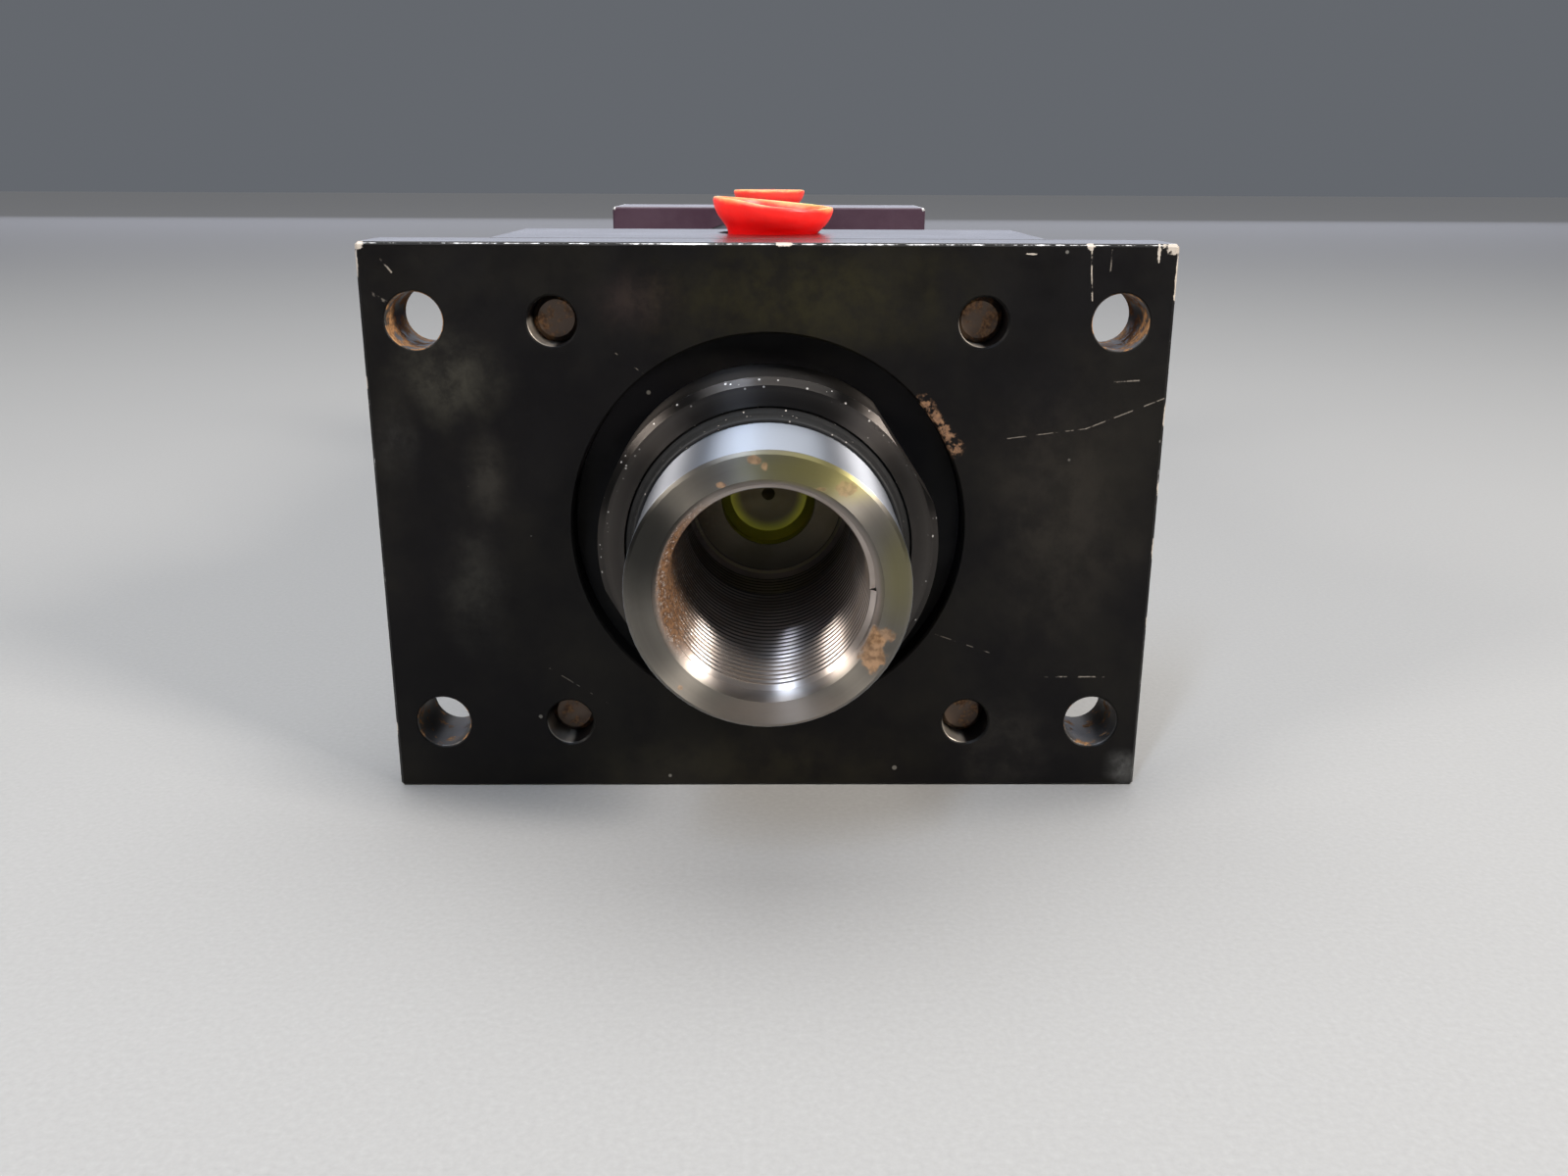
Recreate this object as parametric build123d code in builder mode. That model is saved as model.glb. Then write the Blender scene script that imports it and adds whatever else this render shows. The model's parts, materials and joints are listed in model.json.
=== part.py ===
"""Double-acting tie-rod hydraulic cylinder with a rectangular head flange.

Square-head inch series: 4 in bore, 2 in rod, 5 1/2 in stroke, female rod thread 1 1/2-12.

Frame, in millimetres: the rod axis lies along Y and the rod points towards -Y, X is to the right
and Z is up. The origin is the centre of the flange's front face. "Depth" below always means the
distance behind that face, so it is a Y coordinate.
"""
import os
from math import cos, radians, sqrt, tan

from build123d import *

# ---------------------------------------------------------------- driving dimensions
# barrel
BORE = 101.6                    # 4 in
TUBE_WALL = 3.175
TUBE_SPIGOT_LENGTH = 6.35       # head and cap spigots inside the tube
SPIGOT_CLEARANCE = 0.05
STROKE = 139.7                  # 5 1/2 in
END_GAP = 0.3                   # piston to spigot at either end of the stroke

# tie rods and their nuts
TIE_ROD_DIAMETER = 9.525        # 3/8-24
TIE_ROD_TUBE_GAP = 0.895        # tie rod to barrel tube
TIE_ROD_CLEARANCE = 0.4         # in head and cap
TIE_ROD_THREAD_GAP = 0.08       # in the flange's tapped holes
TIE_ROD_RECESS = 5.9            # end of the tie rod behind the flange's face
TIE_ROD_CHAMFER = 1.1
TIE_ROD_OVERHANG = 2.0          # beyond the nut
NUT_WALL = 2.3825               # tie rod to nut flat
NUT_HEIGHT = 8.33
NUT_CONE_ANGLE = 60.0           # of the cone that rounds the corners, from the rod's axis

# square head, cap and flange
BLOCK_EDGE = 14.985             # tie-rod axis to the side of head and cap
FLANGE_BOLT_OFFSET = 11.905     # flange bolt axis beyond the side of the head
FLANGE_EDGE = 10.32             # flange bolt axis to the flange's end
FLANGE_THICKNESS = 15.875       # 5/8 in
HEAD_LENGTH = 44.45             # 1 3/4 in
CAP_LENGTH = 38.1               # 1 1/2 in
EDGE_BREAK = 0.6                # chamfer on the edges of flange, head and cap
FLANGE_BOLT_HOLE = 11.11        # for 3/8 in bolts
HOLE_BREAK = 0.4                # chamfer at the mouths of holes
RECESS_GAP = 6.555              # flange opening around the gland's nose
RECESS_DEPTH = 5.5              # from the flange's face to the head's register
REGISTER_CLEARANCE = 0.15       # head register in the flange's opening

# rod
ROD_DIAMETER = 50.8             # 2 in
ROD_STANDOUT = 42.7             # end of the retracted rod in front of the flange
ROD_EDGE_BREAK = 0.7
THREAD_DIAMETER = 38.1          # 1 1/2-12, major diameter
THREAD_HEIGHT = 0.95            # hole below the thread is this much smaller in radius
THREAD_MOUTH_WIDTH = 1.35       # countersink at the rod's end
THREAD_MOUTH_DEPTH = 2.0
THREAD_LENGTH = 57.15           # 2 1/4 in
ROD_HOLE_TAIL = 12.85           # plain hole behind the thread
ROD_HOLE_CORNER = 1.8           # cone between the hole's wall and its floor
ROD_POCKET_DIAMETER = 21.0      # shallow pocket in the floor
ROD_POCKET_DEPTH = 5.7
ROD_POCKET_CORNER = 1.8
CENTRE_MARK_DIAMETER = 3.0
CENTRE_MARK_DEPTH = 1.2
SPUD_DIAMETER = 38.1            # turned-down rear end that carries the piston
SPUD_OVERHANG = 2.0             # beyond the piston nut

# gland
GLAND_NOSE_WALL = 7.925         # rod to the outside of the nose, 2.624 in over all
GLAND_STANDOUT = 13.95          # nose in front of the flange
GLAND_NOSE_CHAMFER = 1.37
GLAND_FLAT_DEPTH = 1.575        # two spanner flats, 2 1/2 in across
GLAND_FLATS_ANGLE = 33.0        # of the flats' normal, from +X towards +Z
GLAND_SEAT_WIDTH = 2.325        # nose to screwed body
GLAND_PORT_GAP = 2.325          # gland's rear end to the port's passage
GLAND_BODY_CLEARANCE = 0.05     # gland body in the head
GLAND_ROD_CLEARANCE = 0.4       # gland bore around the rod
OIL_SPACE_WIDTH = 3.6           # around the rod behind the gland
OIL_SPACE_GAP = 0.3             # behind the gland's end

# rod packing
WIPER_SECTION = 2.6
WIPER_GROOVE_DEPTH = 5.9
WIPER_LIP = 3.0                 # lip in front of the gland's nose
WIPER_SET_BACK = 0.7            # of its heel, inside the groove
ROD_SEAL_SECTION = 4.75
ROD_SEAL_WIDTH = 6.4
ROD_SEAL_LAND = 4.5             # wiper groove to seal groove
BUSH_WALL = 2.0
BUSH_FRONT_LAND = 4.2           # seal groove to bush
BUSH_REAR_LAND = 2.95           # bush to the gland's rear end
STATIC_SEAL_SECTION = 2.4       # depth of the gland's O-ring groove
STATIC_SEAL_GROOVE = 4.6
STATIC_SEAL_LAND = 3.2          # groove to the gland's rear end
BACKUP_RING_WIDTH = 1.6
TUBE_SEAL_SECTION = 2.0         # O-rings on the two tube spigots
RUNNING_CLEARANCE = 0.05        # radial, between a guide or a seal and what slides on it
GROOVE_CLEARANCE = 0.1          # along the axis, a static ring in its groove

# piston
PISTON_LENGTH = 31.75           # 1 1/4 in
PISTON_CLEARANCE = 0.35         # radial, piston body in the tube
PISTON_SEAL_SECTION = 6.35
PISTON_SEAL_WIDTH = 6.5
PISTON_SEAL_LAND = 2.6          # piston face to seal groove
GUIDE_BAND_SECTION = 3.2
GUIDE_BAND_LAND = 2.275         # seal groove to guide band groove
PISTON_RING_CLEARANCE = 0.3     # along the axis, each side of a moving ring
PISTON_O_RING_SECTION = 2.0
PISTON_O_RING_GROOVE = 2.8
PISTON_NUT_WALL = 6.35          # spud to nut flat
PISTON_NUT_HEIGHT = 16.0
NUT_POCKET_GAP = 2.67           # around the nut's corners, in the cap

# ports and their shipping plugs
PORT_DIAMETER = 20.2            # 1/2 NPT, mean size of its taper
PORT_DEPTH = 20.0
PORT_MOUTH_STEP = 0.2           # the taper's wide end, where the plug sits
PORT_MOUTH_DEPTH = 5.6
PORT_MOUTH = 1.1                # countersink
PORT_PASSAGE_DIAMETER = 13.0
PORT_PASSAGE_MARGIN = 0.45      # nut pocket behind the port's passage
HEAD_PORT_SETBACK = 17.5        # in front of the head's rear face
PLUG_RIM_FLARE = 3.1            # rim beyond the port's mouth
PLUG_NECK_FLARE = 0.4           # neck beyond the port's mouth, inside its countersink
PLUG_TOE_GAP = 1.1              # toe inside the port's mouth
PLUG_HEIGHT = 5.6
PLUG_INSERTION = 4.4
PLUG_WALL = 1.3
PLUG_RIM_LIP = 0.9
REAR_PLUG_LIFT = 0.35           # neck above the block's top face
FRONT_PLUG_LIFT = 1.1
FRONT_PLUG_SHIFT = 0.4          # to the right, where its low side has slid
FRONT_PLUG_TILT = 5.0           # degrees, its left side stands up

# ---------------------------------------------------------------- places worked out from them
# radii
ROD_R = ROD_DIAMETER / 2
BORE_R = BORE / 2
TUBE_R = BORE_R + TUBE_WALL
TIE_ROD_R = TIE_ROD_DIAMETER / 2
PORT_R = PORT_DIAMETER / 2
PORT_MOUTH_R = PORT_R + PORT_MOUTH_STEP
PASSAGE_R = PORT_PASSAGE_DIAMETER / 2
SPIGOT_R = BORE_R - SPIGOT_CLEARANCE
NOSE_R = ROD_R + GLAND_NOSE_WALL
RECESS_R = NOSE_R + RECESS_GAP
OIL_SPACE_R = ROD_R + OIL_SPACE_WIDTH

# patterns and blocks
TIE_ROD_SPACING = sqrt(2) * (TUBE_R + TIE_ROD_TUBE_GAP + TIE_ROD_R)
SQUARE = TIE_ROD_SPACING + 2 * BLOCK_EDGE
TOP = SQUARE / 2
FLANGE_BOLT_SPACING = SQUARE + 2 * FLANGE_BOLT_OFFSET
FLANGE_WIDTH = FLANGE_BOLT_SPACING + 2 * FLANGE_EDGE

# depths, front to rear
ROD_FRONT = -ROD_STANDOUT
GLAND_FRONT = -GLAND_STANDOUT
GLAND_SEAT = RECESS_DEPTH
HEAD_FRONT = FLANGE_THICKNESS
HEAD_REAR = HEAD_FRONT + HEAD_LENGTH
HEAD_PORT_DEPTH = HEAD_REAR - HEAD_PORT_SETBACK
GLAND_REAR = HEAD_PORT_DEPTH - PASSAGE_R - GLAND_PORT_GAP
CAP_FRONT = HEAD_REAR + STROKE + PISTON_LENGTH + 2 * (TUBE_SPIGOT_LENGTH + END_GAP)
CAP_REAR = CAP_FRONT + CAP_LENGTH
CAP_PORT_DEPTH = CAP_FRONT + CAP_LENGTH / 2
PISTON_REAR = CAP_FRONT - TUBE_SPIGOT_LENGTH - END_GAP
PISTON_FRONT = PISTON_REAR - PISTON_LENGTH
PISTON_NUT_REAR = PISTON_REAR + PISTON_NUT_HEIGHT
ROD_REAR = PISTON_NUT_REAR + SPUD_OVERHANG
NUT_REAR = CAP_REAR + NUT_HEIGHT

os.makedirs("parts", exist_ok=True)


def cross_plane(depth):
    """Plane across the rod axis at a depth: local x is +X, local y is +Z, the normal is -Y."""
    return Plane.XZ.offset(-depth)


def turned(*profile):
    """Section of a turned piece, from (radius, depth) points, to be revolved about Y."""
    with BuildSketch(Plane.XY) as section:
        with BuildLine():
            Polyline(*profile, close=True)
        make_face()
    return section.sketch


def turned_box(inner_radius, outer_radius, front, rear):
    """Section of a plain ring between two radii and two depths."""
    return turned((inner_radius, front), (outer_radius, front), (outer_radius, rear), (inner_radius, rear))


def o_ring_section(inner_radius, outer_radius, depth):
    """Round section that fills a groove between two radii, centred on a depth."""
    with BuildSketch(Plane.XY) as section:
        with Locations(((inner_radius + outer_radius) / 2, depth)):
            Circle((outer_radius - inner_radius) / 2)
    return section.sketch


def save(builder, name):
    """Label a finished piece and write it to its own STEP file."""
    builder.part.label = name
    export_step(builder.part, f"parts/{name}.step")


# ---------------------------------------------------------------- flange plate
# Flat bar, bored for the gland, with four bolt holes and four tapped holes for the tie rods.
tapped_r = TIE_ROD_R + TIE_ROD_THREAD_GAP
with BuildPart() as flange_plate:
    with BuildSketch(cross_plane(0)):
        Rectangle(FLANGE_WIDTH, SQUARE)
    extrude(amount=-FLANGE_THICKNESS)
    chamfer(flange_plate.edges(), EDGE_BREAK)
    with Locations(cross_plane(0)):
        CounterSinkHole(RECESS_R, RECESS_R + HOLE_BREAK, FLANGE_THICKNESS, 90)
        with GridLocations(FLANGE_BOLT_SPACING, TIE_ROD_SPACING, 2, 2):
            CounterSinkHole(FLANGE_BOLT_HOLE / 2, FLANGE_BOLT_HOLE / 2 + HOLE_BREAK, FLANGE_THICKNESS, 90)
        with GridLocations(TIE_ROD_SPACING, TIE_ROD_SPACING, 2, 2):
            CounterSinkHole(tapped_r, tapped_r + HOLE_BREAK, FLANGE_THICKNESS, 90)
save(flange_plate, "flange_plate")

# ---------------------------------------------------------------- head block
# Carries the gland and the front port. A register locates the flange and a spigot the tube.
head_register_r = RECESS_R - REGISTER_CLEARANCE
body_r = NOSE_R - GLAND_SEAT_WIDTH
gland_bore_r = body_r + GLAND_BODY_CLEARANCE
oil_space_front = GLAND_REAR + OIL_SPACE_GAP
tube_seal_root_r = BORE_R - TUBE_SEAL_SECTION
tube_seal_groove = TUBE_SEAL_SECTION + GROOVE_CLEARANCE
head_seal_depth = HEAD_REAR + TUBE_SPIGOT_LENGTH / 2
cap_seal_depth = CAP_FRONT - TUBE_SPIGOT_LENGTH / 2
with BuildPart() as head_block:
    with BuildSketch(cross_plane(HEAD_FRONT)):
        Rectangle(SQUARE, SQUARE)
    extrude(amount=-HEAD_LENGTH)
    chamfer(head_block.edges(), EDGE_BREAK)
    revolve(turned_box(0, head_register_r, GLAND_SEAT, HEAD_FRONT + EDGE_BREAK), axis=Axis.Y)
    revolve(turned_box(0, SPIGOT_R, HEAD_REAR - EDGE_BREAK, HEAD_REAR + TUBE_SPIGOT_LENGTH), axis=Axis.Y)
    revolve(turned_box(tube_seal_root_r, BORE_R, head_seal_depth - tube_seal_groove / 2,
                       head_seal_depth + tube_seal_groove / 2), axis=Axis.Y, mode=Mode.SUBTRACT)
    revolve(turned((0, GLAND_SEAT), (gland_bore_r, GLAND_SEAT), (gland_bore_r, oil_space_front),
                   (OIL_SPACE_R, oil_space_front),
                   (OIL_SPACE_R, HEAD_REAR + TUBE_SPIGOT_LENGTH),
                   (0, HEAD_REAR + TUBE_SPIGOT_LENGTH)), axis=Axis.Y, mode=Mode.SUBTRACT)
    with Locations(cross_plane(HEAD_FRONT)):
        with GridLocations(TIE_ROD_SPACING, TIE_ROD_SPACING, 2, 2):
            Hole(TIE_ROD_R + TIE_ROD_CLEARANCE, HEAD_LENGTH)
    with Locations((0, HEAD_PORT_DEPTH, TOP)):
        CounterSinkHole(PORT_MOUTH_R, PORT_MOUTH_R + PORT_MOUTH, PORT_MOUTH_DEPTH, 90)
        Hole(PORT_R, PORT_DEPTH)
        Hole(PASSAGE_R, TOP - OIL_SPACE_R / 2)
save(head_block, "head_block")

# ---------------------------------------------------------------- cap block
# Closes the rear of the tube. It has the rear port and a pocket for the piston nut.
piston_nut_flats = SPUD_DIAMETER + 2 * PISTON_NUT_WALL
nut_pocket_r = piston_nut_flats / 2 / cos(radians(30)) + NUT_POCKET_GAP
nut_pocket_rear = CAP_PORT_DEPTH + PASSAGE_R + PORT_PASSAGE_MARGIN
with BuildPart() as cap_block:
    with BuildSketch(cross_plane(CAP_FRONT)):
        Rectangle(SQUARE, SQUARE)
    extrude(amount=-CAP_LENGTH)
    chamfer(cap_block.edges(), EDGE_BREAK)
    revolve(turned_box(0, SPIGOT_R, CAP_FRONT - TUBE_SPIGOT_LENGTH, CAP_FRONT + EDGE_BREAK), axis=Axis.Y)
    revolve(turned_box(tube_seal_root_r, BORE_R, cap_seal_depth - tube_seal_groove / 2,
                       cap_seal_depth + tube_seal_groove / 2), axis=Axis.Y, mode=Mode.SUBTRACT)
    revolve(turned_box(0, nut_pocket_r, CAP_FRONT - TUBE_SPIGOT_LENGTH, nut_pocket_rear),
            axis=Axis.Y, mode=Mode.SUBTRACT)
    with Locations(cross_plane(CAP_FRONT)):
        with GridLocations(TIE_ROD_SPACING, TIE_ROD_SPACING, 2, 2):
            Hole(TIE_ROD_R + TIE_ROD_CLEARANCE, CAP_LENGTH)
    with Locations((0, CAP_PORT_DEPTH, TOP)):
        CounterSinkHole(PORT_MOUTH_R, PORT_MOUTH_R + PORT_MOUTH, PORT_MOUTH_DEPTH, 90)
        Hole(PORT_R, PORT_DEPTH)
        Hole(PASSAGE_R, TOP - nut_pocket_r / 2)
save(cap_block, "cap_block")

# ---------------------------------------------------------------- barrel tube
with BuildPart() as barrel_tube:
    revolve(turned_box(BORE_R, TUBE_R, HEAD_REAR, CAP_FRONT), axis=Axis.Y)
save(barrel_tube, "barrel_tube")

# ---------------------------------------------------------------- tube O-rings
for seal_name, seal_depth in (("head_tube_o_ring", head_seal_depth), ("cap_tube_o_ring", cap_seal_depth)):
    with BuildPart() as tube_o_ring:
        revolve(o_ring_section(tube_seal_root_r, BORE_R, seal_depth), axis=Axis.Y)
    save(tube_o_ring, seal_name)

# ---------------------------------------------------------------- tie rods
# Four studs, screwed into the flange from behind and clamped by nuts behind the cap.
tie_rod_front = TIE_ROD_RECESS
tie_rod_rear = NUT_REAR + TIE_ROD_OVERHANG
with BuildPart() as tie_rods:
    with BuildSketch(cross_plane(tie_rod_front)):
        with GridLocations(TIE_ROD_SPACING, TIE_ROD_SPACING, 2, 2):
            Circle(TIE_ROD_R)
    extrude(amount=tie_rod_front - tie_rod_rear)
    chamfer(tie_rods.edges().filter_by(GeomType.CIRCLE), TIE_ROD_CHAMFER)
save(tie_rods, "tie_rods")

# ---------------------------------------------------------------- tie rod nuts
nut_flat_r = TIE_ROD_R + NUT_WALL
with BuildPart() as tie_rod_nuts:
    with BuildSketch(cross_plane(CAP_REAR)):
        with GridLocations(TIE_ROD_SPACING, TIE_ROD_SPACING, 2, 2):
            RegularPolygon(nut_flat_r, 6, major_radius=False)
            Circle(TIE_ROD_R + TIE_ROD_THREAD_GAP, mode=Mode.SUBTRACT)
    extrude(amount=-NUT_HEIGHT)
    with BuildSketch(cross_plane(CAP_REAR)):
        with GridLocations(TIE_ROD_SPACING, TIE_ROD_SPACING, 2, 2):
            Circle(nut_flat_r + NUT_HEIGHT * tan(radians(NUT_CONE_ANGLE)))
    extrude(amount=-NUT_HEIGHT, taper=NUT_CONE_ANGLE, mode=Mode.INTERSECT)
save(tie_rod_nuts, "tie_rod_nuts")

# ---------------------------------------------------------------- gland cartridge
# Screws into the head. Its nose has two spanner flats and it holds the wiper, seal and bush.
gland_bore = ROD_R + GLAND_ROD_CLEARANCE
wiper_r = ROD_R + WIPER_SECTION
rod_seal_r = ROD_R + ROD_SEAL_SECTION
bush_r = ROD_R + BUSH_WALL
wiper_rear = GLAND_FRONT + WIPER_GROOVE_DEPTH
rod_seal_front = wiper_rear + ROD_SEAL_LAND
rod_seal_rear = rod_seal_front + ROD_SEAL_WIDTH
bush_front = rod_seal_rear + BUSH_FRONT_LAND
bush_rear = GLAND_REAR - BUSH_REAR_LAND
static_seal_rear = GLAND_REAR - STATIC_SEAL_LAND
static_seal_front = static_seal_rear - STATIC_SEAL_GROOVE
static_seal_root = gland_bore_r - STATIC_SEAL_SECTION
with BuildPart() as gland_cartridge:
    revolve(turned((0, GLAND_FRONT), (NOSE_R - GLAND_NOSE_CHAMFER, GLAND_FRONT),
                   (NOSE_R, GLAND_FRONT + GLAND_NOSE_CHAMFER), (NOSE_R, GLAND_SEAT),
                   (0, GLAND_SEAT)), axis=Axis.Y)
    with BuildSketch(cross_plane(GLAND_FRONT)):
        Rectangle(2 * (NOSE_R - GLAND_FLAT_DEPTH), 2 * NOSE_R, rotation=GLAND_FLATS_ANGLE)
    extrude(amount=GLAND_FRONT - GLAND_SEAT, mode=Mode.INTERSECT)
    revolve(turned_box(0, body_r, GLAND_SEAT, GLAND_REAR), axis=Axis.Y)
    revolve(turned((0, GLAND_FRONT), (wiper_r, GLAND_FRONT), (wiper_r, wiper_rear),
                   (gland_bore, wiper_rear), (gland_bore, rod_seal_front),
                   (rod_seal_r, rod_seal_front), (rod_seal_r, rod_seal_rear),
                   (gland_bore, rod_seal_rear), (gland_bore, bush_front), (bush_r, bush_front),
                   (bush_r, bush_rear), (gland_bore, bush_rear), (gland_bore, GLAND_REAR),
                   (0, GLAND_REAR)), axis=Axis.Y, mode=Mode.SUBTRACT)
    revolve(turned_box(static_seal_root, body_r, static_seal_front, static_seal_rear),
            axis=Axis.Y, mode=Mode.SUBTRACT)
save(gland_cartridge, "gland_cartridge")

# ---------------------------------------------------------------- rod packing
# Rubber wiper with its lip in front of the nose, lip seal, bronze bush, O-ring and backup ring.
lip_r = ROD_R + RUNNING_CLEARANCE
lip_tip = GLAND_FRONT - WIPER_LIP
wiper_heel = GLAND_FRONT + WIPER_SET_BACK
with BuildPart() as rod_wiper:
    revolve(turned((lip_r, lip_tip), (lip_r + 0.9, lip_tip), (wiper_r - 0.6, wiper_heel - 0.4),
                   (wiper_r, wiper_heel), (wiper_r, wiper_rear),
                   (lip_r, wiper_rear)), axis=Axis.Y)
save(rod_wiper, "rod_wiper")

seal_middle = (lip_r + rod_seal_r) / 2
with BuildPart() as rod_seal:
    revolve(turned((lip_r, rod_seal_front + GROOVE_CLEARANCE),
                   (rod_seal_r, rod_seal_front + GROOVE_CLEARANCE),
                   (rod_seal_r, rod_seal_rear - GROOVE_CLEARANCE),
                   (seal_middle, rod_seal_rear - ROD_SEAL_WIDTH / 2),
                   (lip_r, rod_seal_rear - GROOVE_CLEARANCE)), axis=Axis.Y)
save(rod_seal, "rod_seal")

with BuildPart() as rod_bush:
    revolve(turned_box(lip_r, bush_r, bush_front, bush_rear), axis=Axis.Y)
save(rod_bush, "rod_bush")

gland_seal_depth = static_seal_front + STATIC_SEAL_SECTION / 2 + GROOVE_CLEARANCE
with BuildPart() as gland_o_ring:
    revolve(o_ring_section(static_seal_root, gland_bore_r, gland_seal_depth), axis=Axis.Y)
save(gland_o_ring, "gland_o_ring")

with BuildPart() as gland_backup_ring:
    revolve(turned_box(static_seal_root, body_r, static_seal_rear - BACKUP_RING_WIDTH, static_seal_rear),
            axis=Axis.Y)
save(gland_backup_ring, "gland_backup_ring")

# ---------------------------------------------------------------- piston rod
# Chromed bar with a threaded blind hole in its front end and a spud for the piston behind.
thread_r = THREAD_DIAMETER / 2
core_r = thread_r - THREAD_HEIGHT
pocket_r = ROD_POCKET_DIAMETER / 2
thread_end = ROD_FRONT + THREAD_LENGTH
hole_floor = thread_end + ROD_HOLE_TAIL
pocket_floor = hole_floor + ROD_POCKET_DEPTH
spud_r = SPUD_DIAMETER / 2
with BuildPart() as piston_rod:
    revolve(turned((0, ROD_FRONT), (ROD_R - ROD_EDGE_BREAK, ROD_FRONT), (ROD_R, ROD_FRONT + ROD_EDGE_BREAK),
                   (ROD_R, PISTON_FRONT), (spud_r, PISTON_FRONT), (spud_r, ROD_REAR - ROD_EDGE_BREAK),
                   (spud_r - ROD_EDGE_BREAK, ROD_REAR), (0, ROD_REAR)), axis=Axis.Y)
    revolve(turned((0, ROD_FRONT), (thread_r + THREAD_MOUTH_WIDTH, ROD_FRONT),
                   (thread_r, ROD_FRONT + THREAD_MOUTH_DEPTH), (thread_r, thread_end), (core_r, thread_end),
                   (core_r, hole_floor - ROD_HOLE_CORNER), (core_r - ROD_HOLE_CORNER, hole_floor),
                   (pocket_r, hole_floor), (pocket_r, pocket_floor - ROD_POCKET_CORNER),
                   (pocket_r - ROD_POCKET_CORNER, pocket_floor), (CENTRE_MARK_DIAMETER / 2, pocket_floor),
                   (0, pocket_floor + CENTRE_MARK_DEPTH)), axis=Axis.Y, mode=Mode.SUBTRACT)
save(piston_rod, "piston_rod")

# ---------------------------------------------------------------- piston
piston_r = BORE_R - PISTON_CLEARANCE
seal_root = BORE_R - PISTON_SEAL_SECTION
band_root = BORE_R - GUIDE_BAND_SECTION
front_seal_start = PISTON_FRONT + PISTON_SEAL_LAND
rear_seal_start = PISTON_REAR - PISTON_SEAL_LAND - PISTON_SEAL_WIDTH
band_start = front_seal_start + PISTON_SEAL_WIDTH + GUIDE_BAND_LAND
band_end = rear_seal_start - GUIDE_BAND_LAND
piston_o_ring_depth = (PISTON_FRONT + PISTON_REAR) / 2
piston_o_ring_root = spud_r + PISTON_O_RING_SECTION
with BuildPart() as piston:
    revolve(turned_box(spud_r, piston_r, PISTON_FRONT, PISTON_REAR), axis=Axis.Y)
    for root, start, width in ((seal_root, front_seal_start, PISTON_SEAL_WIDTH),
                               (seal_root, rear_seal_start, PISTON_SEAL_WIDTH),
                               (band_root, band_start, band_end - band_start)):
        revolve(turned_box(root, BORE_R, start, start + width), axis=Axis.Y, mode=Mode.SUBTRACT)
    revolve(turned_box(spud_r / 2, piston_o_ring_root, piston_o_ring_depth - PISTON_O_RING_GROOVE / 2,
                       piston_o_ring_depth + PISTON_O_RING_GROOVE / 2), axis=Axis.Y, mode=Mode.SUBTRACT)
save(piston, "piston")

with BuildPart() as piston_o_ring:
    revolve(o_ring_section(spud_r, piston_o_ring_root, piston_o_ring_depth), axis=Axis.Y)
save(piston_o_ring, "piston_o_ring")

# ---------------------------------------------------------------- piston nut
with BuildPart() as piston_nut:
    with BuildSketch(cross_plane(PISTON_REAR)):
        RegularPolygon(piston_nut_flats / 2, 6, major_radius=False)
        Circle(spud_r, mode=Mode.SUBTRACT)
    extrude(amount=-PISTON_NUT_HEIGHT)
    revolve(turned((spud_r / 2, PISTON_REAR), (piston_nut_flats, PISTON_REAR),
                   (piston_nut_flats, PISTON_NUT_REAR + piston_nut_flats / 2),
                   (piston_nut_flats / 2, PISTON_NUT_REAR), (spud_r / 2, PISTON_NUT_REAR)),
            axis=Axis.Y, mode=Mode.INTERSECT)
save(piston_nut, "piston_nut")

# ---------------------------------------------------------------- piston rings
# Two cup seals that face away from each other, and a guide band between them. The piston can
# turn inside them, because their grip on the tube is larger than their grip on the piston.
ring_outer = BORE_R - RUNNING_CLEARANCE


def cup_seal(start, lips_forward):
    """Section of a cup seal in the groove that begins at start, open towards the pressure."""
    inner = seal_root + RUNNING_CLEARANCE
    middle = (inner + ring_outer) / 2
    front = start + PISTON_RING_CLEARANCE
    rear = start + PISTON_SEAL_WIDTH - PISTON_RING_CLEARANCE
    notch = (front + rear) / 2
    if lips_forward:
        return turned((inner, rear), (ring_outer, rear), (ring_outer, front), (middle, notch), (inner, front))
    return turned((inner, front), (ring_outer, front), (ring_outer, rear), (middle, notch), (inner, rear))


with BuildPart() as piston_seal_front:
    revolve(cup_seal(front_seal_start, True), axis=Axis.Y)
save(piston_seal_front, "piston_seal_front")

with BuildPart() as piston_seal_rear:
    revolve(cup_seal(rear_seal_start, False), axis=Axis.Y)
save(piston_seal_rear, "piston_seal_rear")

with BuildPart() as piston_guide_band:
    revolve(turned_box(band_root + RUNNING_CLEARANCE, ring_outer, band_start + PISTON_RING_CLEARANCE,
                       band_end - PISTON_RING_CLEARANCE), axis=Axis.Y)
save(piston_guide_band, "piston_guide_band")

# ---------------------------------------------------------------- port plugs
# Flared plastic shipping plugs, hollow and open at the top, pushed into the two ports.


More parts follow.
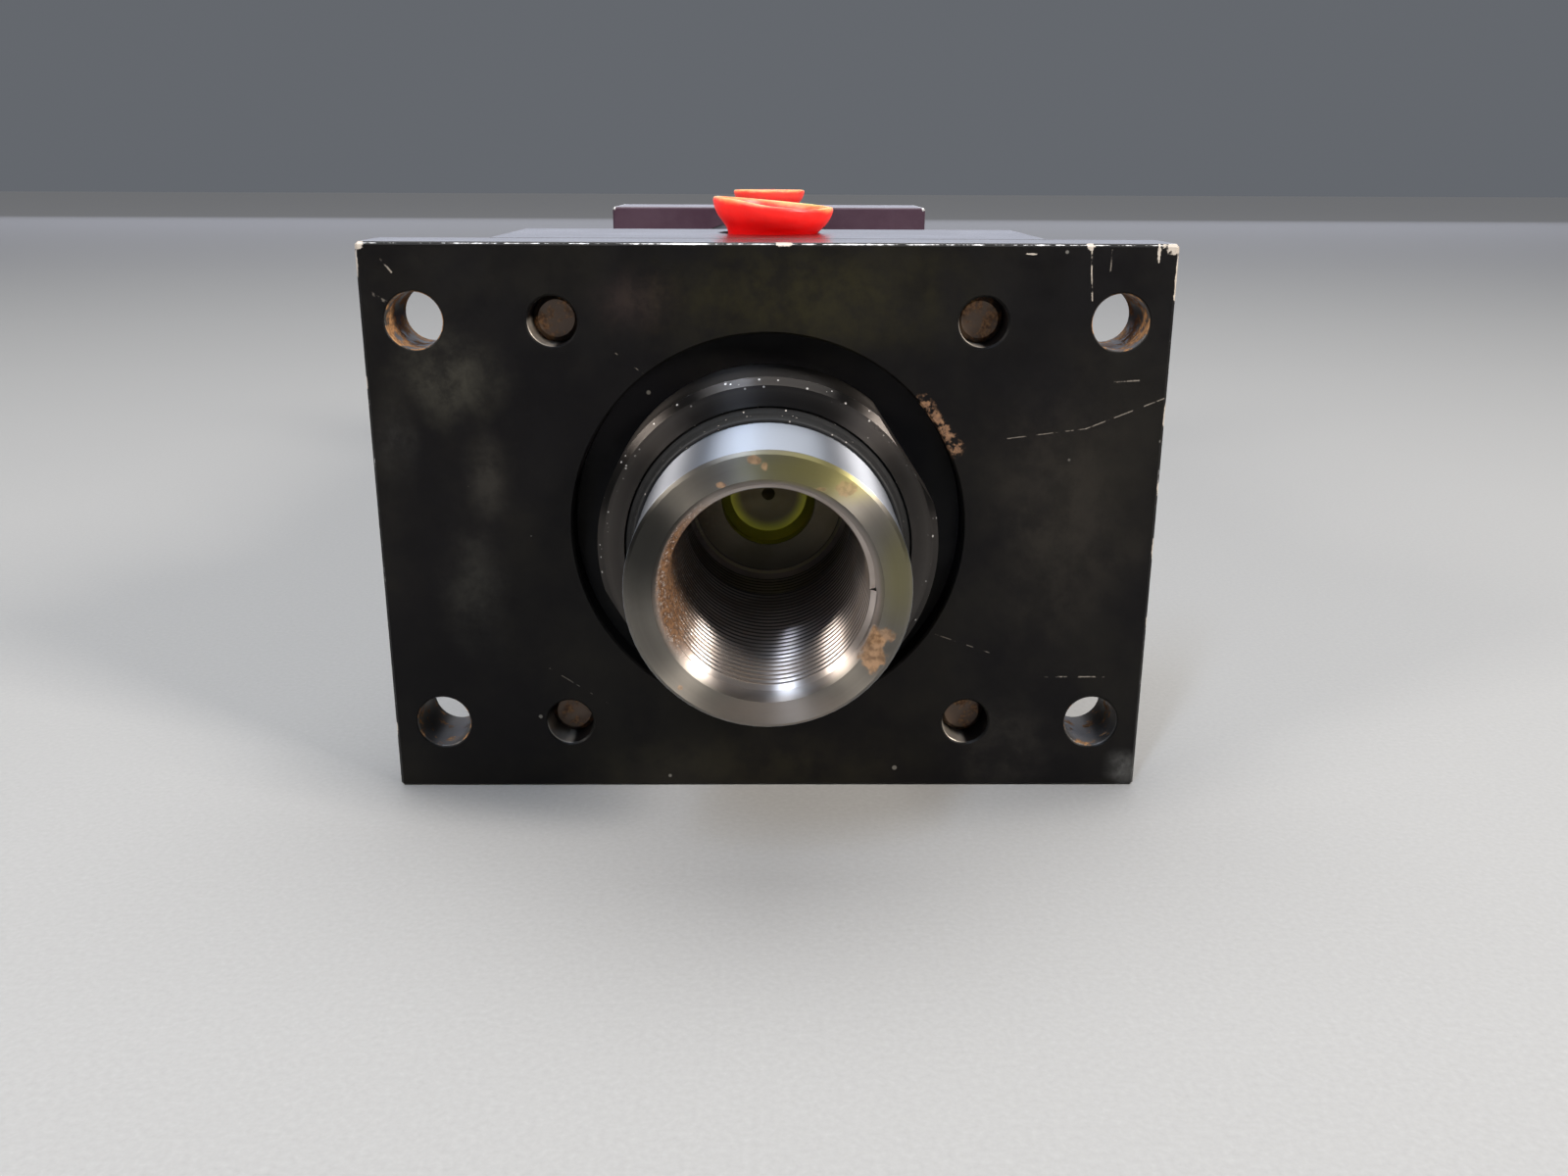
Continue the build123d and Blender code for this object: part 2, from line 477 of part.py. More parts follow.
def plug_section(port_depth, lift):
    """Section of a plug that stands in a port's mouth, its neck lifted off the block's top face."""
    toe_r = PORT_MOUTH_R - PLUG_TOE_GAP
    neck_r = PORT_MOUTH_R + PLUG_NECK_FLARE
    rim_r = PORT_MOUTH_R + PLUG_RIM_FLARE
    face = Plane(origin=(0, port_depth, TOP + lift), x_dir=(1, 0, 0), z_dir=(0, -1, 0))
    with BuildSketch(face) as section:
        with BuildLine():
            Polyline((0, -PLUG_INSERTION), (toe_r, -PLUG_INSERTION), (neck_r - PORT_MOUTH, -PORT_MOUTH),
                     (neck_r, 0))
            bowl = Spline((neck_r, 0), (rim_r, PLUG_HEIGHT - PLUG_RIM_LIP),
                          tangents=((1, 1), (0.15, 1)))
            Polyline(bowl @ 1, (rim_r - PLUG_RIM_LIP / 3, PLUG_HEIGHT),
                     (rim_r - PLUG_WALL, PLUG_HEIGHT), (neck_r - PLUG_WALL, PLUG_WALL),
                     (toe_r - PLUG_WALL, PLUG_WALL - PLUG_INSERTION), (0, PLUG_WALL - PLUG_INSERTION),
                     (0, -PLUG_INSERTION))
        make_face()
    return section.sketch


for plug_name, port_depth, lift, shift, tilt in (
        ("port_plug_front", HEAD_PORT_DEPTH, FRONT_PLUG_LIFT, FRONT_PLUG_SHIFT, FRONT_PLUG_TILT),
        ("port_plug_rear", CAP_PORT_DEPTH, REAR_PLUG_LIFT, 0, 0)):
    plug_foot = Location((0, port_depth, TOP + lift))
    with BuildPart() as upright_plug:
        revolve(plug_section(port_depth, lift), axis=Axis((0, port_depth, 0), (0, 0, 1)))
    with BuildPart() as port_plug:
        add(Pos(shift, 0, 0) * plug_foot * Rot(0, tilt, 0) * plug_foot.inverse() * upright_plug.part)
    save(port_plug, plug_name)
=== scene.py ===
import json
from math import radians

import bpy
from mathutils import Matrix, Vector


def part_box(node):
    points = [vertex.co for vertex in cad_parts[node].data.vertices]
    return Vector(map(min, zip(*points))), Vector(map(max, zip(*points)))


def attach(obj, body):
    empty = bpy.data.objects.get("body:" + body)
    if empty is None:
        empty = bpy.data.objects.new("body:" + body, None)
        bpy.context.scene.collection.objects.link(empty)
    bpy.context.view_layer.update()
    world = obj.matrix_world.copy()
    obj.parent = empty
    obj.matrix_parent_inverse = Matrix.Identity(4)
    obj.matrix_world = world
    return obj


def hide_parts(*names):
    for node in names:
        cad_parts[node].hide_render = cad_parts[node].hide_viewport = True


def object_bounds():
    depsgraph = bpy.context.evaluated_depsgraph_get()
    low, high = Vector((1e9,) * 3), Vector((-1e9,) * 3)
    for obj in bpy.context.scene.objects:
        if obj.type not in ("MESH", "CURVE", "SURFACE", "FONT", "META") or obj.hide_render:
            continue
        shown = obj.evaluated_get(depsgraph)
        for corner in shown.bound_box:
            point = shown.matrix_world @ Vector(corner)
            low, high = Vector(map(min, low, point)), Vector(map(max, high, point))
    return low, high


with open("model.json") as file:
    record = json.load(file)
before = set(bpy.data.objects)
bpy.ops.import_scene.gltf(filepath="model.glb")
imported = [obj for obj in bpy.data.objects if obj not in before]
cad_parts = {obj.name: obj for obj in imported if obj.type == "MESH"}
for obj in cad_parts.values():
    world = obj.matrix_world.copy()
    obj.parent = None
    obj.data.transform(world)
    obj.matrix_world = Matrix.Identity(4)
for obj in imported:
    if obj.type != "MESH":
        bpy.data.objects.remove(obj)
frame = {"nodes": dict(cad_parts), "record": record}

MM = 0.001
cad_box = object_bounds()
nodes = frame["nodes"]

# Flange plate: a 5/8 in steel plate, milled, drilled and tapped, and screwed onto the tie rods in
# front of the head. It is dipped in satin black paint, which handling has knocked off along the
# top edge and at the corners. Its bolt holes have begun to rust.


def place(tree, kind, inputs=None, **settings):
    """Adds a shader node. An input is given as a value, or as the socket that feeds it."""
    made = tree.nodes.new(kind)
    for name, value in settings.items():
        setattr(made, name, value)
    for name, value in (inputs or {}).items():
        if isinstance(value, bpy.types.NodeSocket):
            tree.links.new(value, made.inputs[name])
        else:
            made.inputs[name].default_value = value
    return made


def maths(tree, operation, *terms):
    return place(tree, "ShaderNodeMath", dict(enumerate(terms)), operation=operation).outputs[0]


def vector_maths(tree, operation, *terms):
    made = place(tree, "ShaderNodeVectorMath", dict(enumerate(terms)), operation=operation)
    return made.outputs["Value" if operation in ("LENGTH", "DOT_PRODUCT") else "Vector"]


def ramp(tree, value, low, high, at_low=0.0, at_high=1.0):
    """A smooth step from at_low to at_high while value goes from low to high."""
    ends = {"Value": value, "From Min": low, "From Max": high, "To Min": at_low, "To Max": at_high}
    return place(tree, "ShaderNodeMapRange", ends, interpolation_type="SMOOTHSTEP").outputs["Result"]


def noise(tree, at, scale, detail=3.0, roughness=0.55):
    fields = {"Vector": at, "Scale": scale, "Detail": detail, "Roughness": roughness}
    return place(tree, "ShaderNodeTexNoise", fields).outputs[0]


def mix_values(tree, share, first, second):
    return place(tree, "ShaderNodeMix", {0: share, 2: first, 3: second}).outputs[0]


def mix_colours(tree, share, first, second):
    return place(tree, "ShaderNodeMix", {0: share, 6: first, 7: second}, data_type="RGBA").outputs[2]


def opaque(colour):
    return (*colour, 1.0)


def overlap(tree, *masks):
    """How much of all the masks there is at once: their product."""
    shared = masks[0]
    for mask in masks[1:]:
        shared = maths(tree, "MULTIPLY", shared, mask)
    return shared


def about_axis(tree, position, x=0.0, z=0.0):
    """Distance from an axis along Y through x and z, and the coordinates measured from it."""
    from_axis = vector_maths(tree, "SUBTRACT", position, (x, 0, z))
    sides = place(tree, "ShaderNodeSeparateXYZ", {0: from_axis}).outputs
    flat = place(tree, "ShaderNodeCombineXYZ", {0: sides[0], 2: sides[2]}).outputs[0]
    return vector_maths(tree, "LENGTH", flat), sides


def new_effect(name, inputs, outputs):
    """An empty shader node group, with the sockets that its inside reads and feeds."""
    group = bpy.data.node_groups.new(name, "ShaderNodeTree")
    for in_out, sockets in (("INPUT", inputs), ("OUTPUT", outputs)):
        for label, kind in sockets.items():
            group.interface.new_socket(label, in_out=in_out, socket_type="NodeSocket" + kind)
    given = group.nodes.new("NodeGroupInput").outputs
    result = group.nodes.new("NodeGroupOutput").inputs
    return group, given, result


def effect(tree, group, **inputs):
    """Places an effect. Its inputs' names have capitals and spaces where the keywords have none."""
    fields = {name.replace("_", " ").title(): value for name, value in inputs.items()}
    return place(tree, "ShaderNodeGroup", fields, node_tree=group).outputs


box_edges, given, result = new_effect(
    "box edges", {"Position": "Vector", "Centre": "Vector", "Half": "Vector"}, {"Distance": "Float"})
offset = vector_maths(box_edges, "ABSOLUTE", vector_maths(
    box_edges, "SUBTRACT", given["Position"], given["Centre"]))
inside = place(box_edges, "ShaderNodeSeparateXYZ", {0: vector_maths(
    box_edges, "SUBTRACT", given["Half"], offset)}).outputs
nearer = maths(box_edges, "MINIMUM", inside[0], inside[1])
farther = maths(box_edges, "MAXIMUM", inside[0], inside[1])
box_edges.links.new(maths(box_edges, "MAXIMUM", nearer, maths(
    box_edges, "MINIMUM", farther, inside[2])), result["Distance"])

worn_edge, given, result = new_effect(
    "worn edge", {"Position": "Vector", "Distance": "Float", "Width": "Float", "Amount": "Float"},
    {"Mask": "Float"})
fine_grain = maths(worn_edge, "MULTIPLY", noise(worn_edge, given["Position"], 260.0, 5.0, 0.7), 1.2)
broad_grain = maths(worn_edge, "MULTIPLY", noise(worn_edge, given["Position"], 38.0, 2.0), 0.9)
grain = maths(worn_edge, "ADD", fine_grain, broad_grain)
reach = maths(worn_edge, "DIVIDE", given["Distance"], given["Width"])
left_over = maths(worn_edge, "SUBTRACT", maths(
    worn_edge, "ADD", maths(worn_edge, "SUBTRACT", grain, 1.05), given["Amount"]), reach)
worn_edge.links.new(ramp(worn_edge, left_over, 0.0, 0.14), result["Mask"])

specks, given, result = new_effect(
    "specks", {"Position": "Vector", "Scale": "Float", "Size": "Float", "Share": "Float"},
    {"Mask": "Float"})
cells = place(specks, "ShaderNodeTexVoronoi", {
    "Vector": given["Position"], "Scale": given["Scale"]}).outputs
chance = place(specks, "ShaderNodeSeparateColor", {0: cells["Color"]}).outputs
picked = maths(specks, "LESS_THAN", chance[0], given["Share"])
reach = maths(specks, "MULTIPLY", given["Size"], maths(specks, "ADD", 0.3, chance[1]))
dot = ramp(specks, maths(specks, "DIVIDE", cells["Distance"], reach), 0.7, 1.0, 1.0, 0.0)
specks.links.new(overlap(specks, picked, dot), result["Mask"])

patch, given, result = new_effect(
    "patch", {"Position": "Vector", "Centre": "Vector", "Radii": "Vector", "Ragged": "Float",
              "Grain": "Float", "Softness": "Float"}, {"Mask": "Float"})
away = vector_maths(patch, "LENGTH", vector_maths(patch, "DIVIDE", vector_maths(
    patch, "SUBTRACT", given["Position"], given["Centre"]), given["Radii"]))
torn = maths(patch, "MULTIPLY", given["Ragged"], maths(
    patch, "SUBTRACT", noise(patch, given["Position"], given["Grain"], 5.0, 0.65), 0.5))
patch.links.new(ramp(patch, maths(patch, "ADD", away, torn), maths(
    patch, "SUBTRACT", 1.0, given["Softness"]), 1.0, 1.0, 0.0), result["Mask"])

scratch, given, result = new_effect(
    "scratch", {"Position": "Vector", "Start": "Vector", "End": "Vector", "Width": "Float",
                "Gaps": "Float"}, {"Mask": "Float"})
along = vector_maths(scratch, "SUBTRACT", given["End"], given["Start"])
from_start = vector_maths(scratch, "SUBTRACT", given["Position"], given["Start"])
along_share = place(scratch, "ShaderNodeMath", {
    0: vector_maths(scratch, "DOT_PRODUCT", from_start, along),
    1: vector_maths(scratch, "DOT_PRODUCT", along, along)}, operation="DIVIDE", use_clamp=True)
foot = place(scratch, "ShaderNodeVectorMath", {
    0: along, "Scale": along_share.outputs[0]}, operation="SCALE").outputs[0]
off_line = vector_maths(scratch, "LENGTH", vector_maths(scratch, "SUBTRACT", from_start, foot))
ragged = noise(scratch, given["Position"], 900.0, 4.0, 0.7)
width = maths(scratch, "MULTIPLY", given["Width"], maths(scratch, "ADD", 0.3, ragged))
kept = ramp(scratch, noise(scratch, given["Position"], 420.0, 3.0), maths(
    scratch, "SUBTRACT", given["Gaps"], 0.05), maths(scratch, "ADD", given["Gaps"], 0.05))
scratch.links.new(overlap(scratch, kept, ramp(
    scratch, maths(scratch, "DIVIDE", off_line, width), 0.5, 1.0, 1.0, 0.0)), result["Mask"])

rust, given, result = new_effect(
    "rust", {"Position": "Vector", "Scale": "Float", "Amount": "Float"},
    {"Mask": "Float", "Colour": "Color"})
spread = maths(rust, "ADD", given["Amount"], maths(
    rust, "SUBTRACT", noise(rust, given["Position"], given["Scale"], 8.0, 0.68), 1.0))
rust.links.new(ramp(rust, spread, 0.0, 0.08), result["Mask"])
mottle = noise(rust, given["Position"], 1400.0, 4.0)
rust.links.new(mix_colours(
    rust, ramp(rust, mottle, 0.35, 0.65), opaque((0.10, 0.042, 0.016)), opaque((0.42, 0.21, 0.085))),
    result["Colour"])


def lay_over(tree, coat, mask, colour, roughness, metal=0.0):
    """Covers what a surface shows so far with another layer, wherever mask is 1."""
    coat["colour"] = mix_colours(tree, mask, coat["colour"], colour)
    coat["roughness"] = mix_values(tree, mask, coat["roughness"], roughness)
    if coat["metal"] != metal:
        coat["metal"] = mix_values(tree, mask, coat["metal"], metal)


def start_finish(name):
    """A new material: its tree, its shader and the position on the piece."""
    material = bpy.data.materials.new(name)
    material.use_nodes = True
    tree = material.node_tree
    tree.nodes.clear()
    shader = place(tree, "ShaderNodeBsdfPrincipled")
    place(tree, "ShaderNodeOutputMaterial", {"Surface": shader.outputs[0]})
    position = place(tree, "ShaderNodeTexCoord").outputs["Object"]
    return material, tree, shader, position


def end_finish(tree, shader, coat, bump_height=None, bump_depth=None):
    """Feeds the shader with the layers laid so far, and with a fine relief."""
    tree.links.new(coat["colour"], shader.inputs["Base Color"])
    tree.links.new(coat["roughness"], shader.inputs["Roughness"])
    if isinstance(coat["metal"], float):
        shader.inputs["Metallic"].default_value = coat["metal"]
    else:
        tree.links.new(coat["metal"], shader.inputs["Metallic"])
    if bump_height is not None:
        relief = place(tree, "ShaderNodeBump", {
            "Height": bump_height, "Distance": bump_depth, "Strength": 1.0})
        tree.links.new(relief.outputs[0], shader.inputs["Normal"])


def dress(piece, material):
    piece.data.materials.clear()
    piece.data.materials.append(material)


PAINT_BLACK = (0.0022, 0.0019, 0.0022)
PAINT_DUSTY = (0.0125, 0.0112, 0.0080)
BARE_STEEL = (0.62, 0.61, 0.60)
CHIP_CREAM = (0.62, 0.55, 0.47)
PALE_SCRAPE = (0.50, 0.44, 0.37)
PEEL_DEPTH = 0.02 * MM


def black_paint(name, node, wear, wear_top, wear_width=0.9 * MM, clean=PAINT_BLACK,
                dusty=PAINT_DUSTY):
    """Satin black paint on a block: smudged, dusty and worn along its edges, most at the top."""
    material, tree, shader, position = start_finish(name)
    low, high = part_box(node)
    cloudy = ramp(tree, noise(tree, position, 24.0, 6.0, 0.66), 0.40, 0.70)
    coat = {"colour": mix_colours(tree, overlap(tree, cloudy, 0.5), opaque(clean), opaque(dusty)),
            "roughness": ramp(tree, noise(tree, position, 60.0, 5.0, 0.65), 0.35, 0.65, 0.38, 0.55),
            "metal": 0.0}
    dust = effect(tree, specks, position=position, scale=330.0, size=0.16, share=0.030)["Mask"]
    lay_over(tree, coat, overlap(tree, dust, 0.55), opaque((0.20, 0.19, 0.17)), 0.7)
    distance = effect(tree, box_edges, position=position, centre=(low + high) / 2,
                      half=(high - low) / 2)["Distance"]
    height = place(tree, "ShaderNodeSeparateXYZ", {0: position}).outputs[2]
    amount = ramp(tree, height, high.z - 9 * MM, high.z - 0.2 * MM, wear, wear + wear_top)
    bare = effect(tree, worn_edge, position=position, distance=distance, width=wear_width,
                  amount=amount)["Mask"]
    lay_over(tree, coat, bare, opaque(BARE_STEEL), 0.42, 0.75)
    shader.inputs["Specular IOR Level"].default_value = 0.13
    top_sheen = ramp(tree, height, high.z - 0.3 * MM, high.z - 0.05 * MM)
    tree.links.new(top_sheen, shader.inputs["Coat Weight"])
    shader.inputs["Coat Roughness"].default_value = 0.22
    orange_peel = maths(tree, "ADD", noise(tree, position, 900.0, 2.0),
                        maths(tree, "MULTIPLY", bare, -0.6))
    return material, tree, shader, position, coat, orange_peel


material, tree, shader, position, coat, orange_peel = black_paint(
    "flange paint", "flange_plate", wear=0.40, wear_top=0.22, wear_width=0.6 * MM)
face_patches = (
    # centre x and z, radii x and z, strength, colour, roughness
    (-63, 31, 15.0, 12.0, 0.75, (0.036, 0.034, 0.026), 0.60),
    (-57, 11, 6.0, 13.0, 0.60, (0.026, 0.024, 0.020), 0.60),
    (-61, -13, 9.0, 18.0, 0.60, (0.026, 0.025, 0.021), 0.60),
    (-74, 18, 6.0, 11.0, 0.50, (0.030, 0.029, 0.026), 0.60),
    (-26, 46, 12.0, 8.0, 0.45, (0.034, 0.023, 0.020), 0.50),
    (8, 47, 42.0, 16.0, 0.50, (0.026, 0.023, 0.008), 0.50),
    (60, 2, 22.0, 40.0, 0.42, (0.028, 0.024, 0.019), 0.52),
    (-8, -52, 60.0, 12.0, 0.35, (0.022, 0.020, 0.011), 0.50),
    (50, -47, 16.0, 14.0, 0.45, (0.030, 0.027, 0.022), 0.54),
    (76.6, -52.6, 5.0, 5.0, 0.90, (0.080, 0.080, 0.076), 0.65),
)
clouds = ramp(tree, noise(tree, position, 130.0, 7.0, 0.72), 0.36, 0.62, 0.25, 1.0)
for x, z, x_radius, z_radius, strength, colour, roughness in face_patches:
    smear = effect(tree, patch, position=position, centre=(x * MM, 0, z * MM),
                   radii=(x_radius * MM, 1.2 * MM, z_radius * MM), ragged=0.9, grain=120.0,
                   softness=0.95)["Mask"]
    lay_over(tree, coat, overlap(tree, smear, strength, clouds), opaque(colour), roughness)
face_chips = (
    # centre x and z, radii x and z, where the paint is off: upper corners, under the top edge
    (79.0, 56.6, 2.6, 1.5), (79.4, 50.5, 0.55, 5.0), (-79.0, 56.8, 1.6, 1.2),
    (75.4, 55.4, 0.35, 2.0), (-79.4, 53.0, 0.5, 3.0), (3.0, 57.0, 1.9, 0.7),
    (62.2, 56.8, 0.9, 0.9), (50.5, 55.2, 1.2, 0.20),
    (79.4, 24.0, 0.4, 3.0), (79.4, 9.0, 0.35, 1.6), (79.4, -4.0, 0.35, 2.4), (79.4, -20.0, 0.3, 1.5),
    (-79.4, 30.0, 0.3, 1.5), (-79.4, -44.0, 0.3, 1.8),
)
for x, z, x_radius, z_radius in face_chips:
    chip = effect(tree, patch, position=position, centre=(x * MM, 0.3 * MM, z * MM),
                  radii=(x_radius * MM, 1.2 * MM, z_radius * MM), ragged=2.2, grain=900.0,
                  softness=0.25)["Mask"]
    lay_over(tree, coat, overlap(tree, chip, 0.7), opaque(CHIP_CREAM), 0.55, 0.15)
face_scratches = (
    # start x and z, end x and z, width, gaps, strength
    (62.3, 57.0, 62.6, 51.5, 0.20, 0.44, 0.75), (62.6, 51.5, 63.1, 46.4, 0.19, 0.46, 0.60),
    (66.3, 56.0, 66.2, 50.5, 0.20, 0.54, 0.25), (48.0, 19.2, 63.6, 21.2, 0.16, 0.50, 0.22),
    (63.6, 21.2, 79.0, 27.4, 0.18, 0.48, 0.28), (68.5, 30.6, 73.5, 30.9, 0.20, 0.50, 0.30),
    (57.0, -31.9, 71.6, -31.9, 0.22, 0.56, 0.35), (-74.5, 53.8, -72.6, 51.4, 0.25, 0.46, 0.40),
    (-77.0, 47.5, -72.0, 44.5, 0.45, 0.50, 0.18), (-30.0, 36.0, -22.0, 30.0, 0.16, 0.54, 0.18),
    (34.0, -22.0, 48.0, -27.0, 0.16, 0.54, 0.18), (-46.0, -30.0, -34.0, -38.0, 0.16, 0.55, 0.16),
)
for x, z, end_x, end_z, line_width, gaps, strength in face_scratches:
    line = effect(tree, scratch, position=position, start=(x * MM, 0, z * MM),
                  end=(end_x * MM, 0, end_z * MM), width=line_width * MM, gaps=gaps)["Mask"]
    lay_over(tree, coat, overlap(tree, line, strength), opaque(PALE_SCRAPE), 0.55)
rim_rust = effect(tree, scratch, position=position, start=(30.7 * MM, 0, 26.3 * MM),
                  end=(37.6 * MM, 0, 17.2 * MM), width=2.6 * MM, gaps=0.42)["Mask"]
bloom = effect(tree, rust, position=position, scale=520.0, amount=0.56)
lay_over(tree, coat, overlap(tree, rim_rust, bloom["Mask"], 0.75),
         mix_colours(tree, 0.6, bloom["Colour"], opaque((0.20, 0.125, 0.085))), 0.8)
bolt_hole_x, tapped_hole_x = 69.055 * MM, 42.165 * MM
hole_rows = (-42.165 * MM, 42.165 * MM)
for x in (-bolt_hole_x, bolt_hole_x):
    for z in hole_rows:
        wall = ramp(tree, about_axis(tree, position, x, z)[0], 5.62 * MM, 5.78 * MM, 1.0, 0.0)
        coating = effect(tree, rust, position=position, scale=300.0, amount=0.54 if z > 0 else 0.46)
        lay_over(tree, coat, wall, opaque((0.085, 0.080, 0.075)), 0.40, 0.6)
        lay_over(tree, coat, overlap(tree, wall, coating["Mask"]),
                 mix_colours(tree, 0.4, coating["Colour"], opaque((0.34, 0.20, 0.10))), 0.75)
# Painted highlight: in the tapped holes only the lower left of the wall is painted bright bare
# metal, as if lit.
for x in (-tapped_hole_x, tapped_hole_x):
    for z in hole_rows:
        from_axis, sides = about_axis(tree, position, x, z)
        wall = ramp(tree, from_axis, 4.9 * MM, 5.0 * MM, 1.0, 0.0)
        diagonal = maths(tree, "ADD", sides[0], sides[2])
        painted_lit_side = ramp(tree, diagonal, -6.5 * MM, -4.0 * MM, 1.0, 0.0)
        lay_over(tree, coat, overlap(tree, wall, painted_lit_side), opaque((0.40, 0.36, 0.31)), 0.42, 0.8)
end_finish(tree, shader, coat, orange_peel, PEEL_DEPTH)
dress(nodes["flange_plate"], material)

# Head block: a 4 1/2 in square of steel with the rod gland screwed into it and the front oil port
# drilled in its top. It has the flange's black paint, with a cool sheen on its machined top.
material, tree, shader, position, coat, orange_peel = black_paint(
    "head paint", "head_block", wear=0.36, wear_top=0.25, clean=(0.0022, 0.0020, 0.0028))
end_finish(tree, shader, coat, orange_peel, PEEL_DEPTH)
dress(nodes["head_block"], material)

# Barrel: a honed steel tube, clamped between head and cap by the tie rods and sealed by an O-ring
# at either end. It is painted outside and bright inside.
material, tree, shader, position, coat, orange_peel = black_paint(
    "barrel paint", "barrel_tube", wear=0.0, wear_top=0.0)
bore_wall = ramp(tree, about_axis(tree, position)[0], 50.9 * MM, 51.0 * MM, 1.0, 0.0)
lay_over(tree, coat, bore_wall, opaque((0.55, 0.55, 0.56)), 0.16, 1.0)
end_finish(tree, shader, coat, orange_peel, PEEL_DEPTH)
dress(nodes["barrel_tube"], material)


def rubber(name, colour=(0.012, 0.012, 0.012), dust_share=0.05, dust_scale=900.0):
    """Nitrile rubber: matte, with pale dust in its fine grain."""
    material, tree, shader, position = start_finish(name)
    skin = noise(tree, position, 1500.0, 4.0, 0.6)
    coat = {"colour": mix_colours(tree, skin, opaque(colour), opaque([2.2 * c for c in colour])),
            "roughness": ramp(tree, skin, 0.3, 0.7, 0.5, 0.68),
            "metal": 0.0}
    dust = effect(tree, specks, position=position, scale=dust_scale, size=0.30,
                  share=dust_share)["Mask"]
    lay_over(tree, coat, dust, opaque((0.30, 0.275, 0.25)), 0.8)
    shader.inputs["Specular IOR Level"].default_value = 0.3
    end_finish(tree, shader, coat, maths(tree, "ADD", skin, dust), 0.00006)
    return material


seal_rubber = rubber("seal rubber")
for node in ("head_tube_o_ring", "cap_tube_o_ring"):
    dress(nodes[node], seal_rubber)

# Cap block: the blind square at the rear, with the rear oil port in its top. Its paint has a plum
# tint, and its top front edge and right corner are worn to the metal.
material, tree, shader, position, coat, orange_peel = black_paint(
    "cap paint", "cap_block", wear=0.40, wear_top=0.66, wear_width=1.1 * MM,
    clean=(0.046, 0.024, 0.037), dusty=(0.086, 0.056, 0.074))
low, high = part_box("cap_block")
for x, z, x_radius, z_radius in (
        (-41.5, 57.0, 2.6, 1.5), (56.6, 55.4, 1.6, 3.4), (-56.8, 56.8, 1.2, 1.0)):
    chip = effect(tree, patch, position=position, centre=(x * MM, low.y, z * MM),
                  radii=(x_radius * MM, 1.6 * MM, z_radius * MM), ragged=1.4, grain=600.0,
                  softness=0.15)["Mask"]
    lay_over(tree, coat, chip, opaque(CHIP_CREAM), 0.55, 0.2)
end_finish(tree, shader, coat, orange_peel, PEEL_DEPTH)
dress(nodes["cap_block"], material)

# Tie rods: four 3/8-24 steel rods, screwed into the flange from behind and drawn up by nuts on the
# cap. They are turned, chamfered and rolled with fine threads at their rear ends.


def trace(name, corners):
    """A closed section, traced corner by corner."""
    bpy.ops.object.select_all(action="DESELECT")
    bpy.ops.mesh.primitive_plane_add(size=1.0)
    section = bpy.context.object
    section.name = section.data.name = name
    bpy.ops.object.mode_set(mode="EDIT")
    bpy.ops.mesh.select_all(action="SELECT")
    bpy.ops.mesh.merge(type="CENTER")
    bpy.ops.transform.translate(value=corners[0])
    for start, end in zip(corners, corners[1:] + corners[:1]):
        bpy.ops.mesh.extrude_vertices_move(
            TRANSFORM_OT_translate={"value": Vector(end) - Vector(start)})
    bpy.ops.mesh.select_all(action="SELECT")
    bpy.ops.mesh.remove_doubles(threshold=0.000001)
    bpy.ops.object.mode_set(mode="OBJECT")
    return section


def sweep_round(piece, axis, steps, pitch=0.0, turns=1):
    """Turns a section about an axis through the origin, or winds it into a helix."""
    screw = piece.modifiers.new("turning", "SCREW")
    screw.axis = axis
    screw.steps = screw.render_steps = steps
    screw.screw_offset = pitch
    screw.iterations = turns
    screw.use_merge_vertices = pitch == 0.0
    screw.merge_threshold = 0.000001
    bpy.ops.object.modifier_apply(modifier=screw.name)
    bpy.ops.object.mode_set(mode="EDIT")
    bpy.ops.mesh.select_all(action="SELECT")
    bpy.ops.mesh.fill_holes(sides=0)
    bpy.ops.mesh.normals_make_consistent(inside=False)
    bpy.ops.object.mode_set(mode="OBJECT")


def soften(angle=32.0):
    """Smooths the active piece's shading, apart from its sharp edges."""
    bpy.ops.object.shade_smooth_by_angle(angle=radians(angle))


def move(value, angle=0.0):
    """Moves the active piece's mesh, and first turns it about the Y axis through the origin."""
    bpy.ops.object.mode_set(mode="EDIT")
    bpy.ops.mesh.select_all(action="SELECT")
    if angle:
        bpy.ops.transform.rotate(value=angle, orient_axis="Y", center_override=(0, 0, 0))
    bpy.ops.transform.translate(value=value)
    bpy.ops.object.mode_set(mode="OBJECT")


def join(name, pieces):
    bpy.ops.object.select_all(action="DESELECT")
    for piece in pieces:
        piece.select_set(True)
    bpy.context.view_layer.objects.active = pieces[0]
    bpy.ops.object.join()
    pieces[0].name = pieces[0].data.name = name
    return pieces[0]


def thread_ridge(name, root, crest, start, pitch, turns, steps, crest_share=0.16):
    """One helical ridge along Y, with its root buried just under the surface that carries it."""
    root_share = 0.96
    half_root, half_crest = root_share * pitch / 2, crest_share * pitch / 2
    ridge = trace(name, [(root, start - half_root, 0), (root, start + half_root, 0),
                         (crest, start + half_crest, 0), (crest, start - half_crest, 0)])
    sweep_round(ridge, "Y", steps, pitch, turns)
    return ridge


